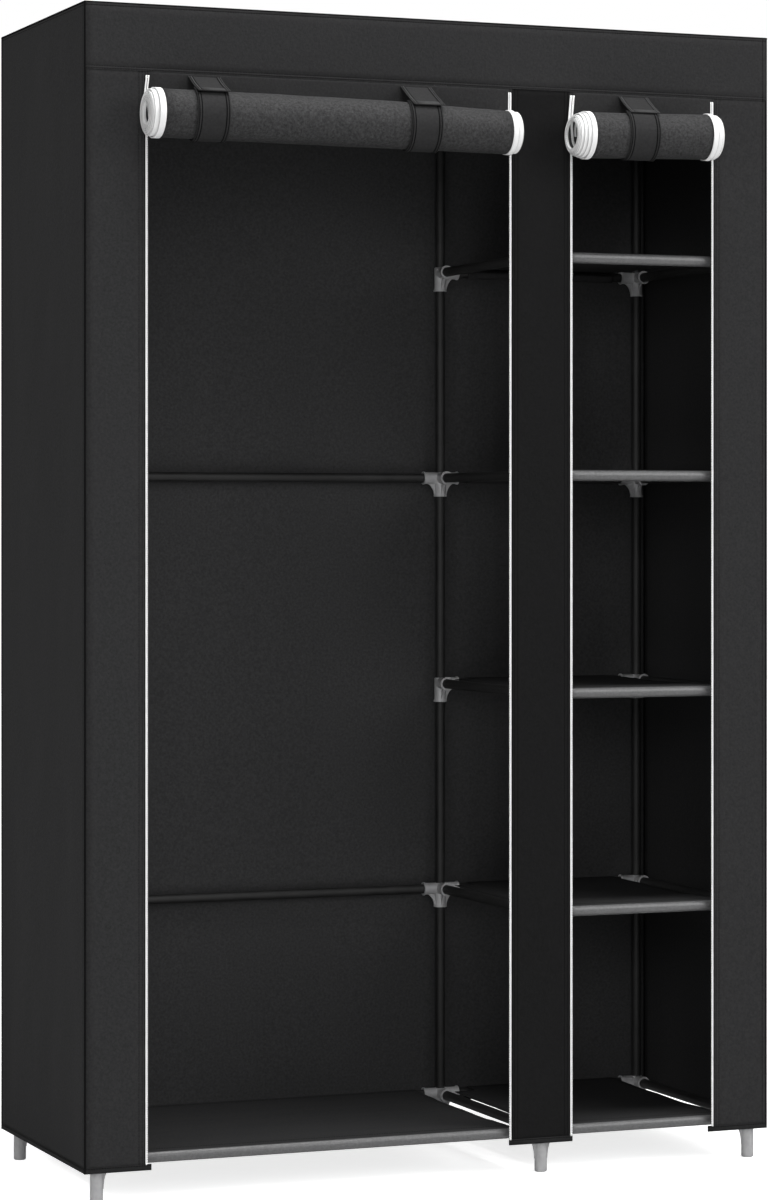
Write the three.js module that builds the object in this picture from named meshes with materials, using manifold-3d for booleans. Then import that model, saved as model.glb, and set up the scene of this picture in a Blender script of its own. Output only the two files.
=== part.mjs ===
// Portable fabric wardrobe: a frame of steel tubes in plastic connectors, sewn fabric shelves, and a
// fabric cover with two zipped doors, shown rolled up and strapped. Millimetres, +Z up, front at -Y.
// The origin is the middle of the footprint, on the floor.

import * as THREE from 'three';
import { mergeVertices } from 'three/addons/utils/BufferGeometryUtils.js';
import Module from 'manifold-3d';

const wasm = await Module();
wasm.setup();

// Fits that many pieces share
const seatGap = 0.3; // between two pieces that touch
const overrun = 5; // how far a cutting tool runs past what it cuts

// Frame
const floorRailHeight = 62; // floor to the lowest rails' centre line
const levelPitch = 333; // from one level of rails to the next
const levels = ['floor', 'level_1', 'level_2', 'level_3', 'level_4', 'top'];
const leftSideLevels = ['floor', 'level_1', 'level_3', 'top']; // the tall bay skips two levels
const leftFrontLevels = ['floor', 'top']; // and is open in front
const tubeDiameter = 15;
const tubeWall = 0.7;
const tubeSides = 8;
const leftBayShare = 0.667; // of the frame's width, for the hanging bay

// Connectors
const socketWall = 1.7;
const socketReach = 30; // connector centre to the mouth of a socket
const socketFloor = 10.5; // connector centre to the blind end of a socket
const hubWall = 2; // of the upright sleeve round a post
const capRise = 14; // top connectors stand this far above their rails' centre line
const gussetThickness = 3;
const gussetDrop = 30; // below the rails' centre line
const footGussetDrop = 42; // the same at a foot

// Cover
const coverWidth = 1100;
const coverDepth = 450;
const fabricThickness = 1;
const postInsetX = 23; // cover side to a post's centre line
const postInsetY = 19; // cover front or back to a post's centre line
const hemHeight = 46; // floor to the cover's lower edge
const hemBindingHeight = 12;
const bindingThickness = 0.6; // stands out from the fabric
const pipingOverhang = 1.5; // piping stands out from the walls and the roof
const bandHeight = 97; // front band above the doors, from the roof down
const sideStripWidth = 93; // cover side to the nearest zip
const centreStripWidth = 101; // between the two doors' zips
const centreStripOffset = -8; // strip centre from the centre post

// Zips
const zipWidth = 5.5;
const zipThickness = 0.8;
const zipFootHeight = 56; // floor to the lower end of a zip
const zipTabLength = 12; // binding that sticks out under a zip's foot
const zipTabHeight = 8;
const sliderWidth = 9;
const sliderLength = 16;
const sliderDepth = 3.2;
const pullWidth = 5;
const pullLength = 24;
const pullDepth = 1.2;
const sliderDrop = 57; // seam to the slider's middle, door rolled up

// Doors, rolled up outside the cover
const doorThickness = 1.4;
const doorGap = 6; // zip line to the door's edge
const rollRadius = 35;
const rollPitch = 2.1; // radius lost by each turn
const rollDrop = 67.5; // seam to the roll's axis
const rollForward = 41; // cover front to the roll's axis
const stepsPerTurn = 16;
const leftCoreRadius = 14;
const rightCoreRadius = 19;
const leftDrawIn = 2; // roll's outer turn, narrower at each end than the door
const rightDrawIn = 10;
const telescope = 26; // innermost turn sticks out past the outermost

// Straps round the rolled doors
const strapWidth = 49;
const strapThickness = 1.2;
const strapTuck = 5; // length behind the band
const strapEndDegrees = 105; // where the loop ends on the roll, from the back over the top
const tabOverlapDegrees = 17; // how far the tab lies round the roll
const tabSteps = 3;
const tabRise = 3; // seam to the tab's sewn edge
const leftStrapShares = [0.151, 0.73]; // of the left door's width
const rightStrapShares = [0.393]; // of the right door's width

// Shelves
const shelfFabric = 0.8;
const sleeveInset = 57; // post centre to the end of a sleeve
const rightShelfInset = 24; // post centre to the shelf's side edge
const leftShelfInset = 36;
const notchDepth = 45; // corner cut away round a connector, from the post's centre line
const sleeveSteps = 12;

// Hanging rod
const rodSleeveLength = 26; // of the tee on the depth rail

// Places worked out from the sizes
const halfWidth = coverWidth / 2;
const halfDepth = coverDepth / 2;
const tubeRadius = tubeDiameter / 2;
const boreRadius = tubeRadius + seatGap;
const armRadius = boreRadius + socketWall;
const hubRadius = tubeRadius + hubWall;
const levelHeight = (level) => floorRailHeight + levels.indexOf(level) * levelPitch;
const topRailHeight = levelHeight('top');
const roofUnderside = topRailHeight + capRise + seatGap;
const roofTop = roofUnderside + fabricThickness;
const seamHeight = roofTop - bandHeight;
const frameWidth = coverWidth - 2 * postInsetX;
const columns = {
  left: -halfWidth + postInsetX,
  centre: -halfWidth + postInsetX + leftBayShare * frameWidth,
  right: halfWidth - postInsetX,
};
const rows = { front: -halfDepth + postInsetY, back: halfDepth - postInsetY };
const centreStripMiddle = columns.centre + centreStripOffset;
const doors = {
  left: {
    from: -halfWidth + sideStripWidth,
    to: centreStripMiddle - centreStripWidth / 2,
    coreRadius: leftCoreRadius,
    drawIn: leftDrawIn,
    strapShares: leftStrapShares,
  },
  right: {
    from: centreStripMiddle + centreStripWidth / 2,
    to: halfWidth - sideStripWidth,
    coreRadius: rightCoreRadius,
    drawIn: rightDrawIn,
    strapShares: rightStrapShares,
  },
};
const rollAxis = { y: -halfDepth - rollForward, z: seamHeight - rollDrop };

const colours = {
  tube: 0x1c1c1e,
  plastic: 0x55565a,
  cover: 0x303031,
  shelf: 0x3a3a3c,
  door: 0x444446,
  strap: 0x4a4a4d,
  zip: 0xc8c8ca,
};

// A finish of its own for each piece
function finish(colour, roughness, metalness) {
  return new THREE.MeshStandardMaterial({ color: colour, roughness, metalness });
}
const steel = () => finish(colours.tube, 0.4, 0.6);
const plastic = () => finish(colours.plastic, 0.55, 0);
const fabric = (colour) => finish(colour, 0.95, 0);
const metal = () => finish(colours.zip, 0.3, 0.9);

const wardrobe = new THREE.Group();

function addPiece(name, geometry, material, x, y, z) {
  const piece = new THREE.Mesh(geometry, material);
  piece.name = name;
  piece.position.set(x, y, z);
  wardrobe.add(piece);
}

// Solids and their joins
function solidOf(geometry) {
  geometry.deleteAttribute('normal');
  geometry.deleteAttribute('uv');
  const merged = mergeVertices(geometry);
  const vertProperties = merged.attributes.position.array;
  const triVerts = new Uint32Array(merged.index.array);
  return new wasm.Manifold(new wasm.Mesh({ numProp: 3, vertProperties, triVerts }));
}

function geometryOf(solid) {
  const mesh = solid.getMesh();
  const geometry = new THREE.BufferGeometry();
  geometry.setAttribute('position', new THREE.BufferAttribute(mesh.vertProperties, 3));
  geometry.setIndex(new THREE.BufferAttribute(mesh.triVerts, 1));
  return flatShaded(geometry);
}

function flatShaded(geometry) {
  const faceted = geometry.toNonIndexed();
  faceted.computeVertexNormals();
  return faceted;
}

const join = (solids) => solids.reduce((whole, next) => whole.add(next));
const cut = (whole, tools) => tools.reduce((rest, tool) => rest.subtract(tool), whole);

// A box between two corners
function box(x0, x1, y0, y1, z0, z1) {
  const geometry = new THREE.BoxGeometry(x1 - x0, y1 - y0, z1 - z0);
  geometry.translate((x0 + x1) / 2, (y0 + y1) / 2, (z0 + z1) / 2);
  return solidOf(geometry);
}

// Bars and tubes start at a point and run along a direction, with a flat side up or to the front
const direction = {
  left: new THREE.Vector3(-1, 0, 0),
  right: new THREE.Vector3(1, 0, 0),
  front: new THREE.Vector3(0, -1, 0),
  back: new THREE.Vector3(0, 1, 0),
  up: new THREE.Vector3(0, 0, 1),
};

function turnTo(geometry, heading, start) {
  const turn = new THREE.Quaternion().setFromUnitVectors(direction.back, heading);
  return geometry.applyQuaternion(turn).translate(start.x, start.y, start.z);
}

function bar(radius, heading, start, length) {
  const firstSide = Math.PI / tubeSides;
  const geometry = new THREE.CylinderGeometry(radius, radius, length, tubeSides, 1, false, firstSide);
  geometry.translate(0, length / 2, 0);
  return solidOf(turnTo(geometry, heading, start));
}

function tubeGeometry(heading, length) {
  const inner = tubeRadius - tubeWall;
  const profile = [
    new THREE.Vector2(inner, 0),
    new THREE.Vector2(tubeRadius, 0),
    new THREE.Vector2(tubeRadius, length),
    new THREE.Vector2(inner, length),
    new THREE.Vector2(inner, 0),
  ];
  const firstSide = Math.PI / tubeSides;
  const geometry = new THREE.LatheGeometry(profile, tubeSides, firstSide);
  return turnTo(geometry, heading, new THREE.Vector3());
}

// A flat strip bent along a path in the YZ plane; each point also has the strip's half width there
function ribbon(path, thickness) {
  const corners = [];
  path.forEach((point, index) => {
    const before = path[Math.max(index - 1, 0)];
    const after = path[Math.min(index + 1, path.length - 1)];
    const run = Math.hypot(after.y - before.y, after.z - before.z);
    const ny = (-(after.z - before.z) / run) * (thickness / 2);
    const nz = ((after.y - before.y) / run) * (thickness / 2);
    corners.push(-point.halfWidth, point.y + ny, point.z + nz);
    corners.push(point.halfWidth, point.y + ny, point.z + nz);
    corners.push(point.halfWidth, point.y - ny, point.z - nz);
    corners.push(-point.halfWidth, point.y - ny, point.z - nz);
  });
  const faces = [0, 2, 1, 0, 3, 2];
  for (let index = 0; index < path.length - 1; index += 1) {
    for (let side = 0; side < 4; side += 1) {
      const a = index * 4 + side;
      const b = index * 4 + ((side + 1) % 4);
      faces.push(a, b + 4, a + 4, a, b, b + 4);
    }
  }
  const last = (path.length - 1) * 4;
  faces.push(last, last + 1, last + 2, last, last + 2, last + 3);
  const geometry = new THREE.BufferGeometry();
  geometry.setAttribute('position', new THREE.Float32BufferAttribute(corners, 3));
  geometry.setIndex(faces);
  return flatShaded(geometry);
}

// Rails: which ones the frame has, and so where the posts need sockets
const rails = [];
for (const column of Object.keys(columns)) {
  for (const level of column === 'left' ? leftSideLevels : levels) {
    rails.push({ name: `depth_rail_${column}_${level}`, level, ends: [[column, 'front'], [column, 'back']] });
  }
}
for (const row of Object.keys(rows)) {
  for (const level of row === 'front' ? leftFrontLevels : leftSideLevels) {
    rails.push({ name: `width_rail_left_${row}_${level}`, level, ends: [['left', row], ['centre', row]] });
  }
  for (const level of levels) {
    rails.push({ name: `width_rail_right_${row}_${level}`, level, ends: [['centre', row], ['right', row]] });
  }
}

// The headings in which a post needs sockets at a level
function headingsAt(column, row, level) {
  const headings = [];
  for (const rail of rails.filter((item) => item.level === level)) {
    const [first, last] = rail.ends;
    const alongDepth = first[0] === last[0];
    if (first[0] === column && first[1] === row) headings.push(alongDepth ? 'back' : 'right');
    if (last[0] === column && last[1] === row) headings.push(alongDepth ? 'front' : 'left');
  }
  return headings;
}

// The web in the corner between a socket and the post's sleeve
function gusset(heading, height, drop) {
  const outline = new THREE.Shape([
    new THREE.Vector2(0, -armRadius / 2),
    new THREE.Vector2(0, -drop),
    new THREE.Vector2(hubRadius, -drop),
    new THREE.Vector2(socketReach, -armRadius / 2),
  ]);
  const geometry = new THREE.ExtrudeGeometry(outline, { depth: gussetThickness, bevelEnabled: false });
  geometry.translate(0, 0, -gussetThickness / 2);
  geometry.rotateX(Math.PI / 2);
  geometry.rotateZ(Math.atan2(direction[heading].y, direction[heading].x));
  return solidOf(geometry.translate(0, 0, height));
}

// A post: its tubes, the connectors at each level and the foot, round the post's own axis
function postGeometry(column, row) {
  const solids = [bar(tubeRadius, direction.up, new THREE.Vector3(), topRailHeight)];
  const tools = [];
  for (const level of levels) {
    const height = levelHeight(level);
    const headings = headingsAt(column, row, level);
    if (headings.length === 0) continue;
    const lower = level === 'floor' ? 0 : height - socketReach;
    const upper = height + (level === 'top' ? capRise : armRadius);
    solids.push(bar(hubRadius, direction.up, new THREE.Vector3(0, 0, lower), upper - lower));
    const centre = new THREE.Vector3(0, 0, height);
    for (const heading of headings) {
      solids.push(bar(armRadius, direction[heading], centre, socketReach));
      solids.push(gusset(heading, height, level === 'floor' ? footGussetDrop : gussetDrop));
      const blindEnd = direction[heading].clone().multiplyScalar(socketFloor).add(centre);
      const boreLength = socketReach - socketFloor + overrun;
      tools.push(bar(boreRadius, direction[heading], blindEnd, boreLength));
    }
  }
  const boreStart = new THREE.Vector3(0, 0, -overrun);
  tools.push(bar(tubeRadius - tubeWall, direction.up, boreStart, topRailHeight + overrun));
  return geometryOf(cut(join(solids), tools));
}

for (const column of Object.keys(columns)) {
  for (const row of Object.keys(rows)) {
    addPiece(`post_${column}_${row}`, postGeometry(column, row), plastic(), columns[column], rows[row], 0);
  }
}

// Rails run from socket to socket; two of the top ones carry the hanging rod's tees
const tubeSetback = socketFloor + seatGap;

// A tee in the middle of a depth rail, with its socket towards a heading
function railWithTee(length, heading) {
  const middle = new THREE.Vector3(0, length / 2, 0);
  const sleeveStart = new THREE.Vector3(0, (length - rodSleeveLength) / 2, 0);
  const blindEnd = direction[heading].clone().multiplyScalar(socketFloor).add(middle);
  const whole = join([
    bar(tubeRadius, direction.back, new THREE.Vector3(), length),
    bar(armRadius, direction.back, sleeveStart, rodSleeveLength),
    bar(armRadius, direction[heading], middle, socketReach),
  ]);
  return geometryOf(cut(whole, [
    bar(tubeRadius - tubeWall, direction.back, new THREE.Vector3(0, -overrun, 0), length + 2 * overrun),
    bar(boreRadius, direction[heading], blindEnd, socketReach - socketFloor + overrun),
  ]));
}

const teeHeadings = { depth_rail_left_top: 'right', depth_rail_centre_top: 'left' };
for (const rail of rails) {
  const [first, last] = rail.ends;
  const x = columns[first[0]];
  const y = rows[first[1]];
  const z = levelHeight(rail.level);
  if (first[0] === last[0]) {
    const length = rows[last[1]] - y - 2 * tubeSetback;
    const tee = teeHeadings[rail.name];
    const geometry = tee ? railWithTee(length, tee) : tubeGeometry(direction.back, length);
    addPiece(rail.name, geometry, steel(), x, y + tubeSetback, z);
  } else {
    const length = columns[last[0]] - x - 2 * tubeSetback;
    addPiece(rail.name, tubeGeometry(direction.right, length), steel(), x + tubeSetback, y, z);
  }
}

const rodLength = columns.centre - columns.left - 2 * tubeSetback;
const rod = tubeGeometry(direction.right, rodLength);
const rodDepth = (rows.front + rows.back) / 2;
addPiece('hanging_rod', rod, steel(), columns.left + tubeSetback, rodDepth, topRailHeight);

// Points on an arc about a centre, angles in radians
function arc(centre, radius, from, to, steps) {
  return Array.from({ length: steps + 1 }, (_, step) => {
    const angle = from + ((to - from) * step) / steps;
    return { y: centre.y + radius * Math.cos(angle), z: centre.z + radius * Math.sin(angle) };
  });
}

const flatPoints = (points) => points.map((point) => new THREE.Vector2(point.y, point.z));

// A fabric shelf: a taut sheet on top, sewn into a sleeve round the front rail and one round the back
function shelfGeometry(bayWidth, sideInset) {
  const sleeveRadius = boreRadius + shelfFabric;
  const meet = Math.asin(boreRadius / sleeveRadius); // where the sheet's underside reaches a sleeve
  const front = { y: rows.front, z: 0 };
  const back = { y: rows.back, z: 0 };
  const outline = new THREE.Shape(flatPoints([
    ...arc(front, sleeveRadius, Math.PI / 2, 2 * Math.PI + meet, sleeveSteps),
    ...arc(back, sleeveRadius, Math.PI - meet, (5 * Math.PI) / 2, sleeveSteps),
  ]));
  const firstSide = Math.PI / 2 + Math.PI / tubeSides;
  for (const centre of [front, back]) {
    const bore = arc(centre, boreRadius, firstSide, firstSide + 2 * Math.PI, tubeSides).slice(0, -1);
    outline.holes.push(new THREE.Path(flatPoints(bore)));
  }
  const halfSheet = bayWidth / 2 - sideInset;
  const geometry = new THREE.ExtrudeGeometry(outline, { depth: 2 * halfSheet, bevelEnabled: false });
  geometry.translate(0, 0, -halfSheet);
  geometry.applyMatrix4(new THREE.Matrix4().makeBasis(direction.back, direction.up, direction.right));
  const notches = [];
  for (const side of [-1, 1]) {
    for (const end of [-1, 1]) {
      const x = [side * (bayWidth / 2 - sleeveInset), side * (halfSheet + overrun)];
      const y = [end * (rows.back - notchDepth), end * (rows.back + sleeveRadius + overrun)];
      const tall = sleeveRadius + overrun;
      notches.push(box(Math.min(...x), Math.max(...x), Math.min(...y), Math.max(...y), -tall, tall));
    }
  }
  return geometryOf(cut(solidOf(geometry), notches));
}

const bays = {
  left: { from: columns.left, to: columns.centre, inset: leftShelfInset, shelves: ['floor'] },
  right: { from: columns.centre, to: columns.right, inset: rightShelfInset, shelves: levels.slice(0, -1) },
};
for (const [name, bay] of Object.entries(bays)) {
  for (const level of bay.shelves) {
    const geometry = shelfGeometry(bay.to - bay.from, bay.inset);
    const middle = (bay.from + bay.to) / 2;
    addPiece(`shelf_${name}_${level}`, geometry, fabric(colours.shelf), middle, 0, levelHeight(level));
  }
}

// A rectangular ring of binding or piping round the cover, standing out from its faces
function ring(out, inward, z0, z1) {
  const outer = box(-halfWidth - out, halfWidth + out, -halfDepth - out, halfDepth + out, z0, z1);
  const x = halfWidth - inward;
  const y = halfDepth - inward;
  return outer.subtract(box(-x, x, -y, y, z0 - overrun, z1 + overrun));
}

// The cover: walls and roof in one, open below, with a doorway for each door
function coverGeometry() {
  const t = fabricThickness;
  const walls = box(-halfWidth, halfWidth, -halfDepth, halfDepth, hemHeight, roofTop).subtract(
    box(-halfWidth + t, halfWidth - t, -halfDepth + t, halfDepth - t, hemHeight - overrun, roofUnderside),
  );
  const hem = ring(bindingThickness, t / 2, hemHeight, hemHeight + hemBindingHeight);
  const piping = ring(pipingOverhang, t / 2, roofUnderside, roofTop + pipingOverhang);
  let whole = join([walls, hem, piping]);
  const front = -halfDepth;
  for (const door of Object.values(doors)) {
    const edges = [door.from + zipWidth / 2, door.to - zipWidth / 2];
    whole = whole.subtract(
      box(...edges, front - overrun, front + overrun, hemHeight - overrun, seamHeight),
    );
    for (const line of [door.from, door.to]) {
      const zip = box(
        line - zipWidth / 2, line + zipWidth / 2,
        front - zipThickness, front + t / 2,
        zipFootHeight, seamHeight,
      );
      whole = whole.add(zip);
    }
    const tabEnds = [
      [edges[0] - zipWidth / 2, edges[0] + zipTabLength],
      [edges[1] - zipTabLength, edges[1] + zipWidth / 2],
    ];
    const tabTop = hemHeight + zipTabHeight;
    for (const [from, to] of tabEnds) {
      whole = whole.add(box(from, to, front - bindingThickness, front + t, hemHeight, tabTop));
    }
  }
  return geometryOf(whole);
}
addPiece('cover', coverGeometry(), fabric(colours.cover), 0, 0, 0);

// Angle at which a line from a point touches a circle round the roll's axis
function touchAngle(point, radius, side) {
  const distance = Math.hypot(point.y, point.z);
  return Math.atan2(point.z, point.y) + side * Math.acos(radius / distance);
}
const touchesBack = -1;
const touchesFront = 1;
const axis = { y: 0, z: 0 };

// Radius for a bent strip's corners, so that its flat sides clear a smaller round piece
const roundOutside = (radius) => radius / Math.cos(Math.PI / stepsPerTurn);

// A door: from the seam down behind the roll, then wound forwards and inwards in one unbroken sheet
function doorPath(door) {
  const outerHalf = (door.to - door.from) / 2 - doorGap;
  const rollHalf = outerHalf - door.drawIn;
  const radius = rollRadius - doorThickness / 2;
  const turns = (rollRadius - door.coreRadius) / rollPitch;
  const steps = Math.round(turns * stepsPerTurn);
  const seamDepth = rollForward + fabricThickness - doorThickness / 2;
  const seam = { y: seamDepth, z: rollDrop - seatGap, halfWidth: outerHalf };
  const start = touchAngle(seam, radius, touchesBack);
  const path = [seam];
  for (let step = 0; step <= steps; step += 1) {
    const wound = step / stepsPerTurn;
    const angle = start - 2 * Math.PI * wound;
    const r = radius - rollPitch * wound;
    const halfWidth = rollHalf + (telescope * step) / steps;
    path.push({ y: r * Math.cos(angle), z: r * Math.sin(angle), halfWidth });
  }
  return path;
}

// The least gap between a wound sheet's turns, measured on the points of its path
function leastGap(path) {
  let least = Infinity;
  for (let first = 0; first < path.length; first += 1) {
    for (let next = first + stepsPerTurn / 2; next < path.length; next += 1) {
      const apart = Math.hypot(path[first].y - path[next].y, path[first].z - path[next].z);
      least = Math.min(least, apart - doorThickness);
    }
  }
  return least;
}

for (const [name, door] of Object.entries(doors)) {
  const path = doorPath(door);
  console.log(`door_${name}: least gap between turns ${leastGap(path).toFixed(2)} mm`);
  const middle = (door.from + door.to) / 2;
  addPiece(`door_${name}`, ribbon(path, doorThickness), fabric(colours.door), middle, rollAxis.y, rollAxis.z);
}

// A strap's loop: from behind the band, down behind the door, under the roll and up its front
const loopInner = roundOutside(rollRadius + seatGap);
const loopRadius = loopInner + strapThickness / 2;

function strapLoopPath() {
  const legDepth = rollForward + fabricThickness + seatGap + strapThickness / 2;
  const seam = { y: legDepth, z: rollDrop };
  const start = touchAngle(seam, loopRadius, touchesBack);
  const end = THREE.MathUtils.degToRad(strapEndDegrees - 360);
  const steps = Math.ceil(((start - end) * stepsPerTurn) / (2 * Math.PI));
  return [{ y: legDepth, z: rollDrop + strapTuck }, seam, ...arc(axis, loopRadius, start, end, steps)];
}

// A strap's tab: from the seam forwards, over the top of the loop's end
function strapTabPath() {
  const root = { y: rollForward - seatGap - strapThickness / 2, z: rollDrop + tabRise };
  const radius = roundOutside(loopInner + strapThickness + seatGap) + strapThickness / 2;
  const start = touchAngle(root, radius, touchesFront);
  const end = start + THREE.MathUtils.degToRad(tabOverlapDegrees);
  return [root, ...arc(axis, radius, start, end, tabSteps)];
}

const strapWide = (path) => path.map((point) => ({ ...point, halfWidth: strapWidth / 2 }));
for (const [name, door] of Object.entries(doors)) {
  door.strapShares.forEach((share, index) => {
    const x = door.from + share * (door.to - door.from);
    const number = index + 1;
    const loop = ribbon(strapWide(strapLoopPath()), strapThickness);
    const tab = ribbon(strapWide(strapTabPath()), strapThickness);
    addPiece(`strap_loop_${name}_${number}`, loop, fabric(colours.strap), x, rollAxis.y, rollAxis.z);
    addPiece(`strap_tab_${name}_${number}`, tab, fabric(colours.strap), x, rollAxis.y, rollAxis.z);
  });
}

// A zip slider with its pull hanging down, in front of its zip
function sliderGeometry() {
  const body = box(-sliderWidth / 2, sliderWidth / 2, -sliderDepth, 0, -sliderLength / 2, sliderLength / 2);
  const pullFront = -sliderDepth - pullDepth;
  const pullFoot = -sliderLength / 2 - pullLength;
  const pull = box(-pullWidth / 2, pullWidth / 2, pullFront, -sliderDepth, pullFoot, 0);
  return geometryOf(body.add(pull));
}

const sliderBack = -halfDepth - zipThickness - seatGap;
const sliderHeight = seamHeight - sliderDrop;
for (const [name, door] of Object.entries(doors)) {
  for (const [side, line] of Object.entries({ left: door.from, right: door.to })) {
    addPiece(`zip_slider_${name}_door_${side}`, sliderGeometry(), metal(), line, sliderBack, sliderHeight);
  }
}

// The origin moves to the middle of the footprint, rolls included
const middle = new THREE.Box3().setFromObject(wardrobe).getCenter(new THREE.Vector3());
wardrobe.children.forEach((piece) => {
  piece.position.y -= middle.y;
});

export default wardrobe;
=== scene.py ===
# Portable fabric wardrobe: smooth tubes in plastic connectors, fabric shelves, and a sewn cover with two
# zipped doors rolled up under straps. Metres, +Z up, front at -Y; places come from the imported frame.

from math import acos, atan2, cos, exp, hypot, pi, radians, sin

import bmesh
import bpy
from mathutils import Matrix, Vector, noise


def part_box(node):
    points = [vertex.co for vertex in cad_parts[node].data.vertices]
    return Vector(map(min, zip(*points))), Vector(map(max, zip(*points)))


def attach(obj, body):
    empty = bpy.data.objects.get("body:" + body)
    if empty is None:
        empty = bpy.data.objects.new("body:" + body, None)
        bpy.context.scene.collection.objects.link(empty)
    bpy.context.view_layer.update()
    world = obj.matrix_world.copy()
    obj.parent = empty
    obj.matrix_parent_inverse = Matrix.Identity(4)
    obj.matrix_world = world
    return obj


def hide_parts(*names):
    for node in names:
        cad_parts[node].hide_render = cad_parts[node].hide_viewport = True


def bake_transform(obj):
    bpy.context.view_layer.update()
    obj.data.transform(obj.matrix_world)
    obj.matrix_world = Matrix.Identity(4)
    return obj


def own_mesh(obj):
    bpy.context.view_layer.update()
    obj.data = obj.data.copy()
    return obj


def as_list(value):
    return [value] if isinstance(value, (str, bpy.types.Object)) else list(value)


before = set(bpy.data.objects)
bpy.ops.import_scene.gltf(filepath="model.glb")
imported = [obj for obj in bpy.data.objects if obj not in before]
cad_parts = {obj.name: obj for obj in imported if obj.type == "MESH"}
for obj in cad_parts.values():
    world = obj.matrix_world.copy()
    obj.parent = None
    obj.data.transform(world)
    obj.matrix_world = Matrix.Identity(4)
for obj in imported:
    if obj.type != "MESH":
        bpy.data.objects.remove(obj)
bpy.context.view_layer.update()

# Fits that many pieces share
SEAT_GAP = 0.0003
OVERRUN = 0.005
WELD = 0.00001
SMOOTH_ANGLE = radians(40)

# Frame
TUBE_RADIUS = 0.0075
TUBE_WALL = 0.0007
TUBE_END_ROUND = 0.0004
ROUND_SIDES = 36
SOCKET_WALL = 0.0017
SOCKET_REACH = 0.030
SOCKET_FLOOR = 0.0105
HUB_WALL = 0.002
CAP_RISE = 0.014
CAP_ROUND = 0.0025
LIP_FLARE = 0.0012
LIP_LENGTH = 0.0045
GUSSET_THICKNESS = 0.003
GUSSET_DROP = 0.030
GUSSET_CURVE_SHARE = 0.9
GUSSET_STEPS = 8
FOOT_GUSSET_DROP = 0.042
FOOT_ROUND = 0.0015
FOOT_RECESS = 0.004
PLASTIC_ROUND = 0.0004
TEE_LENGTH = 0.026

# Cover
CLOTH = 0.0008
PIPING = 0.0015
PIPING_SIDES = 10
WELT_RADIUS = 0.0015
BAND_LIFT = 0.0008
CELL = 0.014
FINE_CELL = 0.008
EDGE_FADE = 0.07
BROAD_SWELL_SIZE = (0.16, 0.42)
SMALL_SWELL_SIZE = (0.06, 0.13)
SMALL_SWELL_SHARE = 0.4
SMALL_SWELL_SEED = 7.3
GROOVE_HALF = 0.0011
GROOVE_DEPTH = 0.0007
HEM_HEIGHT = 0.009
HEM_OUT = 0.0006
HEM_ROUND = 0.001
HEM_STITCH = 0.007
EDGE_STITCH = 0.0045
CORNER_STITCH = 0.0065
BAND_STITCHES = (0.0014, 0.0050)
STRIP_STITCHES = (0.0035, 0.0085)
STRIP_SWELL = 0.0012
WALL_SWELL = 0.0022
BACK_SWELL = 0.0035
BAND_SWELL = 0.0010
ROOF_SAG = 0.0035
ROOF_FLAT = 0.04
ROOF_FADE = (0.16, 0.12)
BACK_FOLD_X = 0.1
BACK_FOLD_WIDTH = 0.006
BACK_FOLD_DEPTH = 0.0018
BACK_FOLD_FADE = (0.3, 0.5)
CRUMPLE = 0.0016
CRUMPLE_SIZE = (0.028, 0.11)
CRUMPLE_SEED = 3.7
SIDE_SEEDS = (1.7, 4.1)
BACK_SEED = 9.6
ROOF_SEED = 2.9
STRIP_SEED = 5.5
BAND_SEED = 8.2

# Thread
STITCH_LENGTH = 0.0030
STITCH_PITCH = 0.0040
STITCH_WIDTH = 0.0012
STITCH_HEIGHT = 0.0004
STITCH_TAPER_SHARE = 0.2
STITCH_FACES = [[0, 1, 6], [1, 2, 7, 6], [2, 3, 7], [3, 4, 7], [4, 5, 6, 7], [5, 0, 6]]

# Zips
ZIP_TAPE = 0.0024
ZIP_HALF = 0.0018
ZIP_GAP = 0.0013
ZIP_BACKING = 0.004
ZIP_THICKNESS = 0.0008
ZIP_FOOT = 0.008
ZIP_TOP = 0.0062
TEETH_WIDTH = 0.0012
TEETH_PITCH = 0.0026
TEETH_LENGTH = 0.0018
TOOTH_LAYER_SHARE = 0.7
TOOTH_SHARES = (1, 0.9, 0.45)
ZIP_TAB = 0.0055
ZIP_ROWS = 80

# Doors
DOOR_CLOTH = 0.0009
ROLL_DROP = 0.0675
ROLL_FORWARD = 0.041
ROLL_WAVE = 0.0005
ROLL_WAVE_SIZE = 0.045
ROLL_WAVES_PER_TURN = 5
ROLL_WAVE_SEED = 3.1
ROLL_COLUMNS = 24
TAPE_FILL_SHARE = 0.7
TAPE_NARROWING = 0.65
TAPE_EDGE_SHARE = 0.05
TAPE_COLUMNS = 4
LEAD_TAPE_THICKNESS = 0.0012
TAPE_WAVE = 0.0005
TAPE_WAVES_PER_TURN = 2.3
TAPE_WAVE_SEEDS = (1.5, 7.5)
TURN_STEPS = 48
STEP_OUT_FROM = 0.7
LEAD_ROWS = 20
LEAD_GAP = 0.0008
LEAD_TOP = (0.0022, -0.0015)
LEAD_FOOT = (-0.0065, -0.0040)
TAPE_START = 0.08

# Straps
STRAP_THICKNESS = 0.0012
STRAP_TUCK = 0.005
STRAP_END = radians(105)
STRAP_HEM = 0.0055
STRAP_HEM_RISE = 0.0005
STRAP_STITCHES = (0.002, 0.0058)
STRAP_STITCH_WIDTH = 0.0016
STRAP_COLUMNS = 10
LOOP_STEPS = 60
LOOP_FRONT_SHARE = 0.7
TAB_STEPS = 12
TAB_DROP = 0.005

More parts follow.
